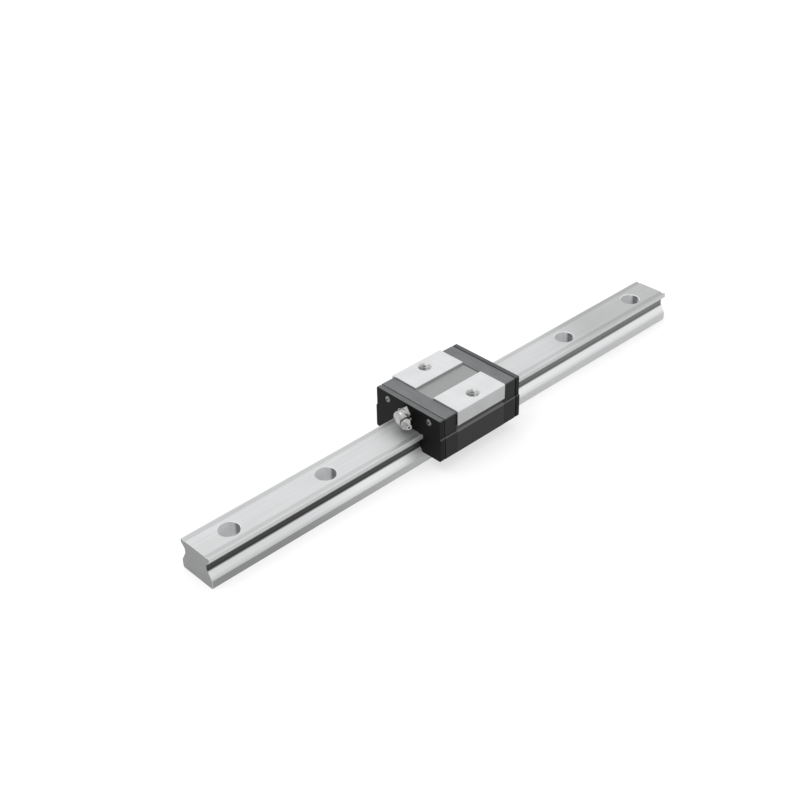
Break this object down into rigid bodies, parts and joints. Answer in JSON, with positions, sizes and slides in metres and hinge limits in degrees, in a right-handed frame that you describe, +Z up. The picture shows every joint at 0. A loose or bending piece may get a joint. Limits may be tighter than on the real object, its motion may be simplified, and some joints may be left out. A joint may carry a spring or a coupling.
{
  "type": "linear_guide_carriage",
  "caption": "Compact size-25 linear guide: ball carriage with black end plates and an angled grease nipple, sliding on a 340 mm counterbored steel rail",
  "frame": {"origin": "centre of the rail's bottom face", "axes": "+X along the rail (the travel), away from the end with the grease nipple; +Y across the rail to the left; +Z up, out of the carriage's mounting face"},
  "size_m": [0.34, 0.048, 0.033],
  "materials": {
    "rail_steel": "ground",
    "block_steel": "ground lands, dark raw skirt",
    "pressed_steel": "pressed",
    "screw_steel": "zinc plated",
    "nipple_plate": "nickel plated",
    "ball_steel": "polished",
    "end_plate_resin": "moulded",
    "guide_resin": "moulded",
    "seal_rubber": "moulded"
  },
  "bodies": {
    "rail": {"rail": "rail_steel"},
    "carriage": {"block_body": "block_steel", "upper_ball_retainer": "pressed_steel", "rear_port_plug": "screw_steel", "grease_nipple": "nipple_plate", "nipple_spring": "pressed_steel", "lower_ball_retainer_left": "pressed_steel", "side_seal_left": "seal_rubber", "balls_upper_left": "ball_steel", "balls_lower_left": "ball_steel", "lower_ball_retainer_right": "pressed_steel", "side_seal_right": "seal_rubber", "balls_upper_right": "ball_steel", "balls_lower_right": "ball_steel", "end_plate_front": "end_plate_resin", "seal_core_front": "pressed_steel", "end_seal_front": "seal_rubber", "end_screws_front": "screw_steel", "return_guide_front_left": "guide_resin", "return_guide_front_right": "guide_resin", "end_plate_rear": "end_plate_resin", "seal_core_rear": "pressed_steel", "end_seal_rear": "seal_rubber", "end_screws_rear": "screw_steel", "return_guide_rear_left": "guide_resin", "return_guide_rear_right": "guide_resin"},
    "nipple_valve": {"nipple_check_ball": "ball_steel"}
  },
  "joints": [
    {"name": "carriage_slide", "type": "slide", "parent": "rail", "child": "carriage", "axis": [1, 0, 0], "range_m": [-0.136, 0.144]},
    {"name": "nipple_valve", "type": "slide", "parent": "carriage", "child": "nipple_valve", "axis": [0.3827, 0.9239, 0], "range_m": [0, 0.0008], "stiffness_N_per_m": 150, "springref_m": -0.0005, "deforming": ["nipple_spring"]}
  ]
}
